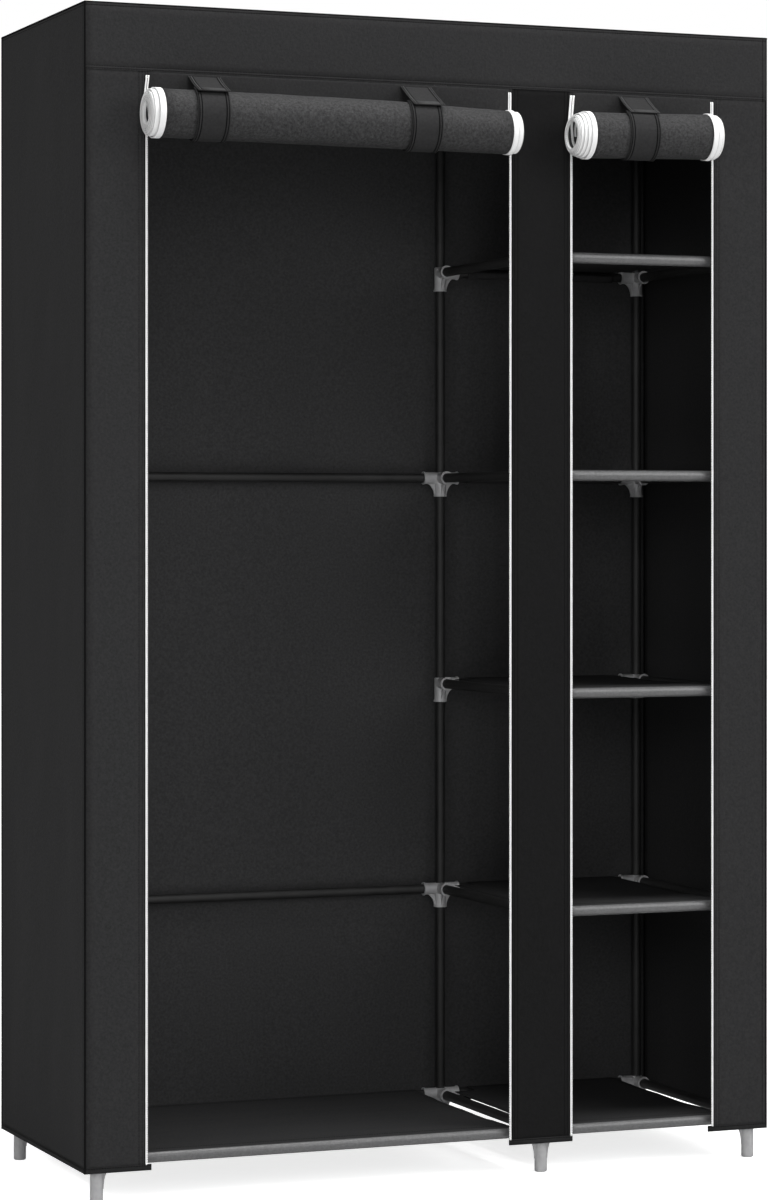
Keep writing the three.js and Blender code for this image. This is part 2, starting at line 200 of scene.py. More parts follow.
# Shelves
SHELF_CLOTH = 0.0008
SLEEVE_INSET = 0.046
SLEEVE_LAP = 0.35
SHELF_SIDE_GAPS = (0.009, 0.043)
NOTCH_DEPTH = 0.045
SHELF_SAG = 0.003
SHELF_HEM = 0.007
SHELF_FADE = 0.2
GATHER = 0.0007
GATHER_SIZE = (0.3, 0.03)
SHELF_WAVE = 0.0012
SHELF_WAVE_SIZE = (0.12, 0.1)
GATHER_SEED = 3
SHELF_WAVE_SEEDS = (5, 2)
SHELF_COLUMNS = 30
SHELF_ROWS = 40
SLEEVE_STEPS = 20
SHELF_STITCH_CELLS = 24

# Sliders
SLIDER_HALF = 0.0045
SLIDER_NECK = 0.0028
SLIDER_LENGTH = 0.016
SLIDER_SHOULDER_SHARES = (0.25, 0.6)
SLIDER_THICKNESS = 0.0032
PULL_HALF = 0.0025
PULL_NECK = 0.0014
PULL_TOP = 0.004
PULL_LENGTH = 0.032
PULL_STEPS = 8
PULL_THICKNESS = 0.0012
SLIDER_ROUND = 0.0004

# Materials
MOTTLE_SPAN = (0.3, 0.7)
CLOTH_BLUE_SHARE = 1.02
CLOTH_GRAINS = ((260, 5, 0.7), (55, 4, 0.6), (1100, 3, 0.7))
CLOTH_DOTS = 620
DOT_BUMP = 0.00014
THREAD_BUMP = 0.0001
ROUGHNESS_SPREAD = 0.08

# Camera, floor and light; a lamp's place, aim, size and power
CAMERA_LENS = 113.83
CAMERA_SHIFT = (-0.0954, -0.0638)
CAMERA_PLACE = (-2.1175, -5.478, 0.9874)
CAMERA_TURN = radians(-22.73)
FLOOR_CORNERS = ((-12, -9), (12, -9), (12, 16), (-12, 16))
FLOOR_GLOW = 0.78
WORLD_GLOW = 0.33
LAMPS = {
    "key": ((4.2, -4.2, 3.9), (0, 0, 0.9), 5.0, 270),
    "fill": ((-1.8, -6.0, 2.0), (0, 0, 0.9), 2.2, 74),
    "top": ((0, -1.0, 5.0), (0, -0.1, 1.6), 2.2, 200),
    "side": ((-5.2, -3.0, 2.4), (-0.5, 0, 1.2), 2.5, 75),
}

# Doors as rolled up, from the left end to the right: the ends of the black cloth, its radius at places
# along it, how far its axis hangs low there, the radius inside its turns, how much the tape stands out
# round it, how far past the black cloth each turn's tape reaches, outermost turn first, and the tapes'
# widths on the lead
DOORS = {
    "left": {
        "cloth": (-0.4505, 0.0925),
        "radii": (0.0370, 0.0372, 0.0366, 0.0337),
        "drops": (-0.0040, -0.0028, -0.0010, 0.0030),
        "core": 0.010,
        "turns": 10,
        "seed": 10,
        "flare": 0.0006,
        "left_turns": (0.010, 0.0168, 0.0190, 0.0200, 0.0205, 0.0205, 0.0205, 0.0200, 0.0120, 0.0060),
        "right_turns": (0.0085, 0.0165, 0.018, 0.0185),
        "lead_tapes": (0.0052, 0.0042),
    },
    "right": {
        "cloth": (0.2285, 0.4230),
        "radii": (0.0356, 0.0354),
        "drops": (0.0020, -0.0028),
        "core": 0.0185,
        "turns": 9,
        "seed": 18.5,
        "flare": 0.0015,
        "left_turns": (0.0085, 0.0140, 0.0195, 0.0240, 0.0260, 0.0270, 0.0273, 0.0273, 0.0190, 0.0140),
        "right_turns": (0.0085, 0.0165, 0.0195, 0.0205),
        "lead_tapes": (0.0074, 0.0042),
    },
}

# How far each strap's root, its loop's front and its tab's end lie to the right, and how far the tab reaches
# past the roll's top
STRAPS = {
    "left_1": {"root": 0.001, "loop": -0.009, "tab": -0.0065, "overhang": 0.016},
    "left_2": {"root": 0.001, "loop": -0.010, "tab": -0.004, "overhang": 0.015},
    "right_1": {"root": 0.0095, "loop": -0.004, "tab": 0.002, "overhang": 0.006},
}

FRAME_BODY = "frame_and_cover"
LEVELS = ["floor", "level_1", "level_2", "level_3", "level_4", "top"]
BAYS = {"left": ("left", "centre"), "right": ("centre", "right")}


def middle(node):
    low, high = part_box(node)
    return (low + high) / 2


# Places read from the frame
columns = {side: middle(f"depth_rail_{side}_floor").x for side in ("left", "centre", "right")}
rows = {side: middle(f"width_rail_right_{side}_floor").y for side in ("front", "back")}
heights = {level: middle(f"width_rail_right_front_{level}").z for level in LEVELS}
cover_low, cover_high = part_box("cover")
left_side, right_side = cover_low.x + PIPING, cover_high.x - PIPING
front, back = cover_low.y + PIPING, cover_high.y - PIPING
hem, roof = cover_low.z, cover_high.z - PIPING
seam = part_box("door_left")[1].z + SEAT_GAP
roll_axis = Vector((0, front - ROLL_FORWARD, seam - ROLL_DROP))
lead_top = Vector((0, front - DOOR_CLOTH / 2, seam - SEAT_GAP))

BORE_RADIUS = TUBE_RADIUS + SEAT_GAP
ARM_RADIUS = BORE_RADIUS + SOCKET_WALL
HUB_RADIUS = TUBE_RADIUS + HUB_WALL

LEFT, RIGHT = Vector((-1, 0, 0)), Vector((1, 0, 0))
FRONT, BACK = Vector((0, -1, 0)), Vector((0, 1, 0))
UP = Vector((0, 0, 1))
HEADINGS = {"left": LEFT, "right": RIGHT, "front": FRONT, "back": BACK}


# Shapes: each is a list of points and a list of faces
def merged(shapes):
    points, faces = [], []
    for some_points, some_faces in shapes:
        first = len(points)
        points += some_points
        faces += [[first + index for index in face] for face in some_faces]
    return points, faces


# Faces between rows of points, row by row; a round row's last point joins its first
def joined(count, size, round_row=True):
    afters = [*range(1, size), 0] if round_row else range(1, size)
    return [[row * size + here, row * size + after, (row + 1) * size + after, (row + 1) * size + here]
            for row in range(count - 1) for here, after in zip(range(size), afters)]


# A profile of (radius, distance along) turned round a line
def lathe(profile, origin, heading, sides=ROUND_SIDES):
    across = heading.orthogonal().normalized()
    upward = heading.cross(across)
    points = []
    for radius, along in profile:
        for angle in steps(0, 2 * pi, sides)[:-1]:
            out = across * cos(angle) + upward * sin(angle)
            points.append(origin + heading * along + out * radius)
    return points, joined(len(profile), sides)


# A sheet on a grid of u and v
def grid(us, vs, place, kept=None):
    def stays(face):
        row, column = divmod(face[0], len(us))
        return kept((us[column] + us[column + 1]) / 2, (vs[row] + vs[row + 1]) / 2)

    faces = joined(len(vs), len(us), False)
    return [place(u, v) for v in vs for u in us], [face for face in faces if not kept or stays(face)]


# A flat plate between two outlines
def plate(near, far):
    count = len(near)
    return near + far, [list(range(count))[::-1], list(range(count, 2 * count)), *joined(2, count)]


def steps(start, end, count):
    return [start + (end - start) * step / count for step in range(count + 1)]


def eased(share):
    share = min(max(share, 0), 1)
    return share * share * (3 - 2 * share)


def nodes_named(*starts):
    return [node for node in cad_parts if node.startswith(starts)]


def new_mesh(name, shape, clean=True):
    mesh = bpy.data.meshes.new(name)
    mesh.from_pydata([tuple(point) for point in shape[0]], [], shape[1])
    if clean:
        tidy_mesh(mesh)
    return mesh


def dressed(mesh, material):
    mesh.materials.clear()
    mesh.materials.append(material)
    mesh.shade_smooth()
    mesh.set_sharp_from_angle(angle=SMOOTH_ANGLE)
    return mesh


# A finished object made of a shape
def piece(name, shape, material, body=FRAME_BODY, nodes=(), clean=True):
    return placed(name, dressed(new_mesh(name, shape, clean), material), body, nodes)


def sewn(name, shape, material, clean=True):
    return piece(name, shape, material, clean=clean)


def in_scene(name, data):
    obj = bpy.data.objects.new(name, data)
    bpy.context.scene.collection.objects.link(obj)
    return obj


def placed(name, mesh, body, nodes=()):
    obj = in_scene(name, mesh)
    if body:
        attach(obj, body)
    if nodes:
        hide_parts(*nodes)
    return obj


# Welds doubled points, drops unused ones and turns faces outwards
def tidy_mesh(mesh):
    solid = bmesh.new()
    solid.from_mesh(mesh)
    bmesh.ops.remove_doubles(solid, verts=solid.verts, dist=WELD)
    loose = [vert for vert in solid.verts if not vert.link_faces]
    bmesh.ops.delete(solid, geom=loose, context="VERTS")
    bmesh.ops.recalc_face_normals(solid, faces=solid.faces)
    solid.to_mesh(mesh)
    solid.free()


def thicken(obj, thickness, offset=0):
    modifier = obj.modifiers.new("thickness", "SOLIDIFY")
    modifier.thickness = thickness
    modifier.offset = offset
    return obj


def rounded(obj, width, segments=2):
    modifier = obj.modifiers.new("rounding", "BEVEL")
    modifier.width = width
    modifier.segments = segments
    modifier.limit_method = "ANGLE"
    modifier.angle_limit = SMOOTH_ANGLE
    return obj


# Materials
def shader_of(material):
    return material.node_tree.nodes["Principled BSDF"]


def new_material(name, colour, roughness, **sockets):
    material = bpy.data.materials.new(name)
    material.use_nodes = True
    inputs = shader_of(material).inputs
    inputs["Base Color"].default_value = (*colour, 1)
    inputs["Roughness"].default_value = roughness
    for socket, value in sockets.items():
        inputs[socket.replace("_", " ")].default_value = value
    return material


def add_node(owner, kind, **inputs):
    node = owner.node_tree.nodes.new(kind)
    for name, value in inputs.items():
        node.inputs[name.replace("_", " ")].default_value = value
    return node


def link(owner, source, output, target, socket):
    owner.node_tree.links.new(source.outputs[output], target.inputs[socket])


# A texture in the object's own metres
def textured(material, kind, stretch=(1, 1, 1), **inputs):
    place = add_node(material, "ShaderNodeTexCoord")
    mapping = add_node(material, "ShaderNodeMapping", Scale=stretch)
    texture = add_node(material, kind, **inputs)
    link(material, place, "Object", mapping, "Vector")
    link(material, mapping, "Vector", texture, "Vector")
    return texture


def cloudy(material, scale, detail, roughness=0.5):
    return textured(material, "ShaderNodeTexNoise", Scale=scale, Detail=detail, Roughness=roughness)


# Colour between two shades over a texture
def mottle(material, texture, dark, light):
    ramp = add_node(material, "ShaderNodeValToRGB")
    for element, shade, position in zip(ramp.color_ramp.elements, (dark, light), MOTTLE_SPAN):
        element.color = (*shade, 1)
        element.position = position
    link(material, texture, "Fac", ramp, "Fac")
    link(material, ramp, "Color", shader_of(material), "Base Color")


# Bumps from textures, each as (texture, height), one on top of the other
def bumps(material, layers):
    last = None
    for texture, height in layers:
        bump = add_node(material, "ShaderNodeBump", Strength=1, Distance=height)
        link(material, texture, "Distance" if texture.type == "TEX_VORONOI" else "Fac", bump, "Height")
        if last:
            link(material, last, "Normal", bump, "Normal")
        last = bump
    link(material, last, "Normal", shader_of(material), "Normal")


# Roughness that varies a little over a texture
def vary_roughness(material, texture, low, high):
    spread = add_node(material, "ShaderNodeMapRange", To_Min=low, To_Max=high)
    link(material, texture, "Fac", spread, "Value")
    link(material, spread, "Result", shader_of(material), "Roughness")


def even(value):
    return (value, value, value)


# Non-woven cloth: pressed fibres with a fine embossed dot pattern
def nonwoven(name, value, roughness=0.86, specular=0.04, grain=0.0005, contrast=0.25):
    shade = (value, value, value * CLOTH_BLUE_SHARE)
    dark = tuple((1 - contrast) * part for part in shade)
    light = tuple((1 + contrast) * part for part in shade)
    material = new_material(name, shade, roughness, Specular_IOR_Level=specular)
    cloud, puckers, fibre = [cloudy(material, *sizes) for sizes in CLOTH_GRAINS]
    dots = textured(material, "ShaderNodeTexVoronoi", Scale=CLOTH_DOTS, Randomness=0.35)
    mottle(material, cloud, dark, light)
    vary_roughness(material, fibre, roughness - ROUGHNESS_SPREAD, roughness + ROUGHNESS_SPREAD)
    bumps(material, [(puckers, grain), (cloud, grain / 2), (dots, DOT_BUMP), (fibre, DOT_BUMP)])
    return material


# A smooth material given by its darkest, plain and lightest shade, its least, plain and most roughness
# and its grains, each as (scale, detail, height); shade and roughness follow the first grain
def speckled(name, shades, roughness, grains, **sockets):
    material = new_material(name, shades[1], roughness[1], **sockets)
    clouds = [cloudy(material, scale, detail) for scale, detail, _ in grains]
    mottle(material, clouds[0], shades[0], shades[2])
    if roughness[0] < roughness[2]:
        vary_roughness(material, clouds[0], roughness[0], roughness[2])
    bumps(material, [(cloud, height) for cloud, (_, _, height) in zip(clouds, grains) if height])
    return material


def woven_tape(name, shades):
    dark, light = [even(shade) for shade in shades]
    material = new_material(name, light, roughness=0.7)
    warp = textured(material, "ShaderNodeTexWave", Scale=260, Distortion=0.6)
    weft = textured(material, "ShaderNodeTexWave", stretch=(0.1, 0.1, 1), Scale=420, Distortion=0.4)
    weft.bands_direction = "Z"
    mottle(material, warp, dark, light)
    bumps(material, [(warp, THREAD_BUMP), (weft, THREAD_BUMP)])
    return material


def sewing_thread():
    material = new_material("black_thread", even(0.004), roughness=0.9, Specular_IOR_Level=0)
    twist = textured(material, "ShaderNodeTexWave", Scale=900, Distortion=1)
    mottle(material, twist, dark=even(0.003), light=even(0.006))
    bumps(material, [(twist, THREAD_BUMP)])
    return material


cover_cloth = nonwoven("cover_cloth", 0.020)
# Painted shade: the centre strip gets a darker copy of the cover cloth, so it renders darker than the strips
# beside it
centre_painted_shade_cloth = nonwoven("centre_strip_painted_shade_cloth", 0.0070)
# Painted light: the back panel gets a lighter copy of the cover cloth, standing for light that reaches the
# inside of the wardrobe
back_cloth = nonwoven("back_cloth", 0.034)
door_cloth = nonwoven("door_cloth", 0.022, roughness=0.7, specular=0.16, grain=0.0018, contrast=0.7)
strap_cloth = nonwoven("strap_cloth", 0.017, roughness=0.8, specular=0.1)
strap_hem_cloth = nonwoven("strap_hem_cloth", 0.024, roughness=0.75, specular=0.22)
shelf_cloth = nonwoven("shelf_cloth", 0.024)
# Painted light: the sleeves round the front rails get a lighter copy of the shelf cloth, standing for the
# light their front edge catches; the back sleeves keep the plain shelf cloth
front_sleeve_painted_light_cloth = nonwoven("front_sleeve_painted_light_cloth", 0.068, roughness=0.3, specular=0.5, grain=0.0003)
# A near-black cloth: the dark binding of the piping and corner welts, and painted shade behind the zips,
# where it darkens the gap between each strip and its zip tape
dark_binding_and_shade_cloth = nonwoven("dark_binding_and_shade_cloth", 0.006, roughness=0.9, specular=0)
hem_cloth = nonwoven("hem_cloth", 0.014)
tube_paint = speckled(
    "satin_black_tube", shades=(even(0.010), even(0.013), even(0.017)), roughness=(0.44, 0.5, 0.56),
    grains=[(30, 4, 0), (700, 3, 0.00004)], Specular_IOR_Level=0.2,
)
plastic = speckled(
    "grey_plastic", shades=((0.26, 0.26, 0.265), (0.29, 0.29, 0.295), (0.335, 0.335, 0.34)),
    roughness=(0.3, 0.42, 0.46), grains=[(60, 4, 0.0003), (900, 2, 0.00003)],
    Subsurface_Weight=0.15, Subsurface_Scale=0.003, Subsurface_Radius=even(1),
)
tape_cloth = woven_tape("white_zip_tape", shades=(0.62, 0.70))
# Partly the tape's woven edge and partly painted shade: the dark band at each turn's edge stands for the
# shadow between the roll's turns
selvedge_and_painted_shade = woven_tape("tape_selvedge_and_painted_shade", shades=(0.20, 0.26))
teeth_nylon = speckled(
    "white_zip_teeth", shades=(even(0.78), even(0.84), even(0.88)), roughness=even(0.35),
    grains=[(500, 2, 0.00005)],
)
slider_paint = speckled(
    "slider_metal", shades=((0.62, 0.62, 0.63), (0.72, 0.72, 0.73), (0.78, 0.78, 0.79)),
    roughness=(0.24, 0.32, 0.4), grains=[(400, 3, 0.00003)], Metallic=0.7,
)
thread = sewing_thread()


# Camera at the photograph's viewing angle
def add_camera():
    data = bpy.data.cameras.new("camera")
    data.lens = CAMERA_LENS
    data.shift_x, data.shift_y = CAMERA_SHIFT
    camera = in_scene("camera", data)
    camera.location = CAMERA_PLACE
    camera.rotation_euler = (pi / 2, 0, CAMERA_TURN)
    bpy.context.scene.camera = camera


add_camera()


# Tubes
def tube(name, start, end, nodes):
    length = (end - start).length
    inner = TUBE_RADIUS - TUBE_WALL
    shoulder = TUBE_RADIUS - TUBE_END_ROUND
    profile = [
        (inner, 0), (shoulder, 0), (TUBE_RADIUS, TUBE_END_ROUND),
        (TUBE_RADIUS, length - TUBE_END_ROUND), (shoulder, length), (inner, length), (inner, 0),
    ]
    shape = lathe(profile, start, (end - start).normalized())
    return piece(name, shape, tube_paint, nodes=nodes)


def add_rails():
    for node in nodes_named("depth_rail", "width_rail", "hanging_rod"):
        low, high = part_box(node)
        start = middle(node)
        if node.startswith("depth_rail"):
            _, _, column, level = node.split("_", 3)
            start = Vector((columns[column], low.y, heights[level]))
            end = Vector((start.x, high.y, start.z))
        else:
            end = Vector((high.x, start.y, start.z))
            start.x = low.x
        tube(f"tube_{node}", start, end, [node])


def add_post_tubes():
    for column, x in columns.items():
        for row, y in rows.items():
            start = Vector((x, y, FOOT_RECESS + SEAT_GAP))
            end = Vector((x, y, heights["top"] + SOCKET_FLOOR))
            obj = tube(f"tube_post_{column}_{row}", start, end, [f"post_{column}_{row}"])


# A solid bar with a flared lip at its far end
def lipped_bar(radius, heading, length):
    profile = [
        (0, 0), (radius, 0), (radius, length - LIP_LENGTH),
        (radius + LIP_FLARE, length - LIP_LENGTH / 3), (radius + LIP_FLARE, length), (0, length),
    ]
    return lathe(profile, Vector(), heading)


def plain_bar(radius, heading, start, length):
    return lathe([(0, 0), (radius, 0), (radius, length), (0, length)], heading * start, heading)


# The web in the corner under a socket, with a hollow curve for its free edge
def gusset(heading, drop):
    reach = SOCKET_REACH - LIP_LENGTH
    top = ARM_RADIUS / 2
    centre = (reach, -drop)
    outline = [(0, -top), (0, -drop), (HUB_RADIUS + GUSSET_THICKNESS / 3, -drop)]
    for angle in steps(pi, pi / 2, GUSSET_STEPS):
        along = centre[0] + (reach - HUB_RADIUS - GUSSET_THICKNESS / 3) * cos(angle)
        outline.append((along, centre[1] + (drop - ARM_RADIUS * GUSSET_CURVE_SHARE) * sin(angle)))
    outline.append((reach, -top))
    side = heading.cross(UP) * (GUSSET_THICKNESS / 2)
    near = [heading * along + UP * height - side for along, height in outline]
    return plate(near, [point + side * 2 for point in near])


def hub(kind, lower):
    top = CAP_RISE if kind == "top" else ARM_RADIUS
    length = top - lower
    crown = [(HUB_RADIUS, length - CAP_ROUND), (HUB_RADIUS - CAP_ROUND / 3, length - CAP_ROUND / 3),
             (HUB_RADIUS - CAP_ROUND, length), (0, length)]
    if kind == "floor":
        foot = [(0, 0), (HUB_RADIUS - FOOT_ROUND, 0), (HUB_RADIUS, FOOT_ROUND)]
    else:
        lip = HUB_RADIUS + LIP_FLARE
        foot = [(0, 0), (lip, 0), (lip, LIP_LENGTH / 3), (HUB_RADIUS, LIP_LENGTH)]
    return lathe(foot + crown, UP * lower, UP)


# One closed mesh from solids that overlap, with tools cut out of it
def united(solids, tools, name):
    helpers = [in_scene("helper", new_mesh("helper", shape)) for shape in solids + tools]
    base = helpers[0]
    for number, helper in enumerate(helpers[1:], 1):
        modifier = base.modifiers.new("join", "BOOLEAN")
        modifier.operation = "UNION" if number < len(solids) else "DIFFERENCE"
        modifier.solver = "EXACT"
        modifier.object = helper
    bpy.context.view_layer.update()
    found = base.evaluated_get(bpy.context.evaluated_depsgraph_get())
    mesh = bpy.data.meshes.new_from_object(found)
    mesh.name = name
    for helper in helpers:
        bpy.data.objects.remove(helper)
    return mesh


def add_plastic(name, mesh, place):
    obj = placed(name, mesh, None)
    obj.location = place
    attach(obj, FRAME_BODY)
    rounded(obj, PLASTIC_ROUND)


def connector_mesh(headings, kind):
    lower = -heights["floor"] if kind == "floor" else -SOCKET_REACH
    drop = FOOT_GUSSET_DROP if kind == "floor" else GUSSET_DROP
    solids = [hub(kind, lower)]
    tools = [plain_bar(BORE_RADIUS, UP, lower + (FOOT_RECESS if kind == "floor" else -OVERRUN),
                       -lower + (SOCKET_FLOOR + SEAT_GAP if kind == "top" else 2 * ARM_RADIUS))]
    for heading in headings:
        way = HEADINGS[heading]
        solids += [lipped_bar(ARM_RADIUS, way, SOCKET_REACH), gusset(way, drop)]
        tools.append(plain_bar(BORE_RADIUS, way, SOCKET_FLOOR, SOCKET_REACH))
    return dressed(united(solids, tools, "connector"), plastic)


# The headings in which the rails leave a post at a level
def headings_at(column, row, level):
    found = [(f"depth_rail_{column}_{level}", "back" if row == "front" else "front")]
    for end, heading in enumerate(("right", "left")):
        found += [(f"width_rail_{bay}_{row}_{level}", heading) for bay in BAYS if BAYS[bay][end] == column]
    return [heading for node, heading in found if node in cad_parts]


def add_connectors():
    made = {}
    for column, x in columns.items():
        for row, y in rows.items():
            for level, z in heights.items():
                headings = headings_at(column, row, level)
                if not headings:
                    continue
                kind = level if level in ("floor", "top") else "level"
                key = (kind, *headings)
                if key not in made:
                    made[key] = connector_mesh(headings, kind)
                add_plastic(f"connector_{column}_{row}_{level}", made[key], (x, y, z))


def add_tees():
    for column, way in (("left", RIGHT), ("centre", LEFT)):
        sleeve = plain_bar(ARM_RADIUS, BACK, -TEE_LENGTH / 2, TEE_LENGTH)
        bore = plain_bar(BORE_RADIUS, BACK, -TEE_LENGTH, 2 * TEE_LENGTH)
        socket = plain_bar(BORE_RADIUS, way, SOCKET_FLOOR, SOCKET_REACH)
        mesh = united([sleeve, lipped_bar(ARM_RADIUS, way, SOCKET_REACH)], [bore, socket], "tee")
        place = (columns[column], middle("hanging_rod").y, heights["top"])
        add_plastic(f"tee_{column}", dressed(mesh, plastic), place)


add_rails()
add_post_tubes()
add_connectors()
add_tees()


# A row of stitches along a line on a surface that faces a normal
def stitches(start, end, normal, pitch=STITCH_PITCH, width=STITCH_WIDTH):
    run = (end - start).length
    count = max(1, int(run / pitch))
    ahead = (end - start) / run
    side = ahead.cross(normal) * (width / 2)
    out = normal * STITCH_HEIGHT
    shapes = []
    for index in range(count):
        first = start + ahead * (index + 0.5 * (1 - STITCH_LENGTH / pitch)) * run / count
        last = first + ahead * STITCH_LENGTH
        near, far = first.lerp(last, STITCH_TAPER_SHARE), first.lerp(last, 1 - STITCH_TAPER_SHARE)
        points = [first, near + side, far + side, last, far - side, near - side, near + out, far + out]
        shapes.append((points, STITCH_FACES))
    return merged(shapes)


# Grid lines along a panel, closer together at its seams
def lines(length, cell, seams):
    count = max(1, round(length / cell))
    found = steps(0, length, count)
    for at in seams:
        near = [at - GROOVE_HALF, at, at + GROOVE_HALF]
        found = [value for value in found if abs(value - at) > 2 * GROOVE_HALF] + near
    return sorted(value for value in set(found) | {0, length} if 0 <= value <= length)


def groove(value, seams):
    nearest = min((abs(value - at) for at in seams), default=GROOVE_HALF)
    return GROOVE_DEPTH * max(0, 1 - (nearest / GROOVE_HALF) ** 2)


def ripple(u, v, size, seed):
    return noise.noise(Vector((u / size[0], v / size[1], seed)))


# How far a hung panel stands out of its plane, nothing at its edges
def hang(u, v, size, swell, seed):
    width, height = size
    fade = eased(min(u, width - u) / min(EDGE_FADE, width / 2)) * eased(min(v, height - v) / EDGE_FADE)
    small = ripple(u, v, SMALL_SWELL_SIZE, seed + SMALL_SWELL_SEED)
    return swell * fade * (ripple(u, v, BROAD_SWELL_SIZE, seed) + SMALL_SWELL_SHARE * small)


# Thread along a panel's seams
def seam_threads(plane, size, seams):
    corner, across, upward, outward = plane
    corner = corner + outward * (CLOTH / 2 - GROOVE_DEPTH)
    runs = [(corner + across * at, upward * size[1]) for at in seams[0]]
    runs += [(corner + upward * at, across * size[0]) for at in seams[1]]
    return merged([stitches(start, start + way, outward) for start, way in runs])


# A panel of the cover in a plane, given by a corner, the ways across and up, and the way it faces;
# its seams lie at distances across and at distances up
def panel(name, plane, size, seams, swell, seed, cloth=cover_cloth, held="hung", cell=CELL, extra=None):
    corner, across, upward, outward = plane
    us, vs = lines(size[0], cell, seams[0]), lines(size[1], cell, seams[1])

    def place(u, v):
        out = hang(u, v, size, swell, seed) - groove(u, seams[0]) - groove(v, seams[1])
        if extra:
            out += extra(u, v)
        return corner + across * u + upward * v + outward * out

    obj = piece(name, grid(us, vs, place), cloth)
    thicken(obj, CLOTH)
    sewing = piece(f"{name}_stitching", seam_threads(plane, size, seams), thread, clean=False)
    return obj


full_height = roof - hem
width_of_cover = right_side - left_side
zip_lines = {
    door: [middle(f"zip_slider_{door}_door_{side}").x for side in ("left", "right")] for door in DOORS
}


def roof_sag(u, v):
    across = min(abs(left_side + u - x) for x in columns.values())
    deep = min(abs(front + v - y) for y in rows.values())
    inside = rows["front"] < front + v < rows["back"]
    share = eased((across - ROOF_FLAT) / ROOF_FADE[0]) * eased((deep - ROOF_FLAT) / ROOF_FADE[1])
    return -ROOF_SAG * share if inside else 0


# The back cloth has a standing fold and is crumpled behind the shelves
def back_folds(u, v):
    x = right_side - u
    away = (x - columns["centre"] - BACK_FOLD_X) / BACK_FOLD_WIDTH
    fade = eased(v / BACK_FOLD_FADE[0]) * eased((full_height - v) / BACK_FOLD_FADE[1])
    crumpled = eased((x - columns["centre"]) / BACK_FOLD_X) * eased((width_of_cover - u) / EDGE_FADE)
    crumpled *= eased(u / EDGE_FADE) * eased(v / EDGE_FADE) * eased((full_height - v) / EDGE_FADE)
    folds = CRUMPLE * crumpled * ripple(u, v, CRUMPLE_SIZE, CRUMPLE_SEED)
    return folds - BACK_FOLD_DEPTH * exp(-away * away) * fade


def wall(name, corner, across, outward, width, *looks, **more):
    plane = (Vector((*corner, hem)), across, UP, outward)
    seams = ([CORNER_STITCH, width - CORNER_STITCH], [full_height - EDGE_STITCH])
    return panel(f"cover_{name}", plane, (width, full_height), seams, *looks, **more)


def add_walls():
    deep, wide = back - front, width_of_cover
    left_wall = wall("side_left", (left_side, back), FRONT, LEFT, deep, WALL_SWELL, SIDE_SEEDS[0])
    wall("side_right", (right_side, front), BACK, RIGHT, deep, WALL_SWELL, SIDE_SEEDS[1])
    # The back panel wears the lighter copy of the cover cloth: painted light
    wall("back", (right_side, back), LEFT, BACK, wide, BACK_SWELL, BACK_SEED, back_cloth, cell=FINE_CELL,
         extra=back_folds)
    roof_plane = (Vector((left_side, front, roof)), RIGHT, BACK, UP)
    roof_seams = ([EDGE_STITCH, wide - EDGE_STITCH], [EDGE_STITCH, deep - EDGE_STITCH])
    panel("cover_roof", roof_plane, (wide, deep), roof_seams, BAND_SWELL, ROOF_SEED, held="laid",
          extra=roof_sag)
    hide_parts("cover")


# The strips beside the doorways and the band above them
def add_front():
    (left_start, left_end), (right_start, right_end) = zip_lines.values()
    edge = ZIP_HALF + ZIP_GAP
    height = seam - hem + STRAP_TUCK
    sewn_on = STRIP_STITCHES
    strips = {
        "left": (left_side, left_start - edge, [], sewn_on, cover_cloth),
        # The centre strip wears the darker copy of the cover cloth: painted shade
        "centre": (left_end + edge, right_start - edge, sewn_on, sewn_on, centre_painted_shade_cloth),
        "right": (right_end + edge, right_side, sewn_on, [CORNER_STITCH], cover_cloth),
    }
    for side, (start, end, near, far, cloth) in strips.items():
        width = end - start
        plane = (Vector((start, front, hem)), RIGHT, UP, FRONT)
        seams = ([*near, *[width - value for value in far]], [])
        panel(f"cover_strip_{side}", plane, (width, height), seams, STRIP_SWELL, STRIP_SEED + start, cloth)
    height = roof - seam
    plane = (Vector((left_side, front - BAND_LIFT, seam)), RIGHT, UP, FRONT)
    seams = ([width_of_cover - CORNER_STITCH], [*BAND_STITCHES, height - EDGE_STITCH])
    panel("cover_band", plane, (width_of_cover, height), seams, BAND_SWELL, BAND_SEED)


add_walls()
add_front()


# A profile of (outward, upward) swept along a level path; outward is to the path's right
def sweep(path, profile, closed):
    points, faces = [], []
    count = len(path)
    for index, point in enumerate(path):
        ways = []
        if closed or index:
            ways.append((point - path[index - 1]).normalized())
        if closed or index < count - 1:
            ways.append((path[(index + 1) % count] - point).normalized())
        normals = [way.cross(UP) for way in ways]
        normal = sum(normals, Vector()).normalized()
        mitre = 1 / normal.dot(normals[0])
        points += [point + normal * (out * mitre) + UP * upward for out, upward in profile]
    size = len(profile)
    for index in range(count if closed else count - 1):
        for side in range(size - 1):
            a, b = index * size + side, ((index + 1) % count) * size + side
            faces.append([a, b, b + 1, a + 1])
    return points, faces


def corners_at(height):
    return [Vector((x, y, height)) for x, y in (
        (left_side, front), (right_side, front), (right_side, back), (left_side, back),
    )]


def add_edges():
    circle = [(PIPING * cos(angle), PIPING * sin(angle)) for angle in steps(0, 2 * pi, PIPING_SIDES)]
    sewn("roof_piping", sweep(corners_at(roof), circle, True), dark_binding_and_shade_cloth)
    profile = [(0, 0), (WELT_RADIUS, 0), (WELT_RADIUS, full_height), (0, full_height)]
    for number, corner in enumerate(corners_at(hem)):
        sewn(f"corner_welt_{number + 1}", lathe(profile, corner, UP, PIPING_SIDES), dark_binding_and_shade_cloth)


